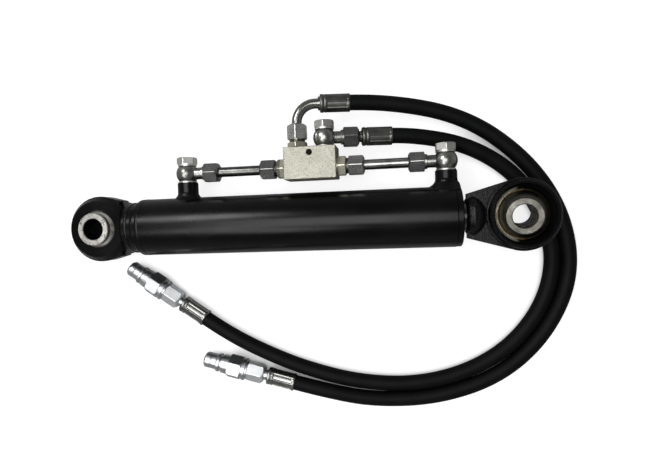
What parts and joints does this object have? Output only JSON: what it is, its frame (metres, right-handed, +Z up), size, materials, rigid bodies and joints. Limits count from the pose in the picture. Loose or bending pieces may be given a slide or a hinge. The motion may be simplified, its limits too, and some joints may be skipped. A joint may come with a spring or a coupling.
{
  "type": "hydraulic cylinder",
  "caption": "Double-acting hydraulic cylinder with a ball joint in each end eye, pipes to a double check valve, and two hoses with quick-coupling plugs.",
  "frame": {"origin": "centre of the base eye's ball, which is the base pin's centre", "axes": "+X along the cylinder towards the rod eye, +Y towards the ports and the valve, +Z up along the base pin hole"},
  "size_m": [0.6231, 0.3879, 0.0866],
  "materials": {
    "barrel_paint": "satin gloss black paint",
    "eye_paint": "satin black paint over forged steel",
    "chrome_rod": "hard chrome, ground",
    "machined_steel": "bright machined steel",
    "banjo_zinc": "grey zinc plate, satin",
    "bolt_zinc": "light zinc plate",
    "nut_zinc": "dark grey zinc plate",
    "pipe_zinc": "bright drawn steel pipe, zinc plated",
    "block_zinc": "pale zinc plate, fine speckle",
    "adapter_zinc": "zinc plate, slightly yellow",
    "ferrule_zinc": "dark zinc plate, crimped",
    "plug_zinc": "bright blue-white zinc plate",
    "seal_rubber": "nitrile and polyurethane seals",
    "guide_plastic": "filled nylon",
    "spring_steel": "spring wire",
    "hose_rubber": "matt black synthetic rubber cover"
  },
  "bodies": {
    "barrel": {"base_cap": "barrel_paint", "barrel_tube": "barrel_paint", "barrel_welds": "barrel_paint", "gland": "barrel_paint", "gland_o_ring": "seal_rubber", "rod_guide_ring": "guide_plastic", "rod_seal": "seal_rubber", "rod_wiper": "seal_rubber", "base_eye": "eye_paint", "base_port_boss": "barrel_paint", "rod_port_boss": "barrel_paint", "port_welds": "barrel_paint", "base_banjo": "banjo_zinc", "rod_banjo": "banjo_zinc", "valve_banjo": "banjo_zinc", "banjo_bolts": "bolt_zinc", "banjo_washers": "bolt_zinc", "union_nuts": "nut_zinc", "cutting_rings": "nut_zinc", "base_pipe": "pipe_zinc", "rod_pipe": "pipe_zinc", "valve_block": "block_zinc", "base_adapter": "adapter_zinc", "rod_adapter": "adapter_zinc", "check_seats": "machined_steel", "elbow_adapter": "adapter_zinc", "elbow_pipe": "banjo_zinc", "inner_hose_stem": "banjo_zinc", "inner_valve_ferrule": "ferrule_zinc", "outer_valve_ferrule": "ferrule_zinc", "inner_plug_body": "plug_zinc", "outer_plug_body": "plug_zinc", "inner_plug_stem": "plug_zinc", "outer_plug_stem": "plug_zinc", "inner_plug_ferrule": "plug_zinc", "outer_plug_ferrule": "plug_zinc", "swivel_nuts": "plug_zinc", "plug_seals": "plug_zinc", "plug_adapters": "plug_zinc", "outer_hose": "hose_rubber", "inner_hose": "hose_rubber", "base_check_spring": "spring_steel", "rod_check_spring": "spring_steel", "inner_plug_spring": "spring_steel", "outer_plug_spring": "spring_steel"},
    "piston_rings": {"piston_seal": "seal_rubber", "piston_guide_rings": "guide_plastic"},
    "rod": {"piston_rod": "chrome_rod", "piston": "machined_steel", "piston_nut": "machined_steel", "piston_o_ring": "seal_rubber", "rod_eye": "eye_paint", "rod_eye_weld": "eye_paint"},
    "base_ball": {"base_ball": "machined_steel"},
    "rod_ball": {"rod_ball": "machined_steel"},
    "pilot_piston": {"pilot_piston": "machined_steel"},
    "base_poppet": {"base_check_poppet": "machined_steel"},
    "rod_poppet": {"rod_check_poppet": "machined_steel"},
    "inner_poppet": {"inner_poppet": "plug_zinc"},
    "outer_poppet": {"outer_poppet": "plug_zinc"}
  },
  "joints": [
    {"name": "rod_slide", "type": "slide", "parent": "barrel", "child": "piston_rings", "axis": [1, 0, 0], "range_m": [0, 0.23]},
    {"name": "rod_turn", "type": "hinge", "parent": "piston_rings", "child": "rod", "pos_m": [0.14, 0, 0], "axis": [1, 0, 0], "range_deg": [-10, 10]},
    {"name": "base_ball_tilt", "type": "hinge", "parent": "barrel", "child": "base_ball", "pos_m": [0, 0, 0], "axis": [0, 1, 0], "range_deg": [-9, 9]},
    {"name": "rod_ball_tilt", "type": "hinge", "parent": "rod", "child": "rod_ball", "pos_m": [0.51, 0, 0], "axis": [0.6159, -0.7878, 0], "range_deg": [-20, 4]},
    {"name": "pilot_shift", "type": "slide", "parent": "barrel", "child": "pilot_piston", "axis": [1, 0, 0], "range_m": [-0.002, 0.002]},
    {"name": "base_check_lift", "type": "slide", "parent": "barrel", "child": "base_poppet", "axis": [-1, 0, 0], "range_m": [0, 0.002], "stiffness_N_per_m": 1500, "springref_m": -0.003, "deforming": ["base_check_spring"]},
    {"name": "rod_check_lift", "type": "slide", "parent": "barrel", "child": "rod_poppet", "axis": [1, 0, 0], "range_m": [0, 0.002], "stiffness_N_per_m": 1500, "springref_m": -0.003, "deforming": ["rod_check_spring"]},
    {"name": "inner_poppet_press", "type": "slide", "parent": "barrel", "child": "inner_poppet", "axis": [0.8229, -0.5676, -0.0263], "range_m": [0, 0.006], "stiffness_N_per_m": 2500, "springref_m": -0.004, "deforming": ["inner_plug_spring"]},
    {"name": "outer_poppet_press", "type": "slide", "parent": "barrel", "child": "outer_poppet", "axis": [0.9664, -0.2553, -0.0309], "range_m": [0, 0.006], "stiffness_N_per_m": 2500, "springref_m": -0.004, "deforming": ["outer_plug_spring"]}
  ]
}
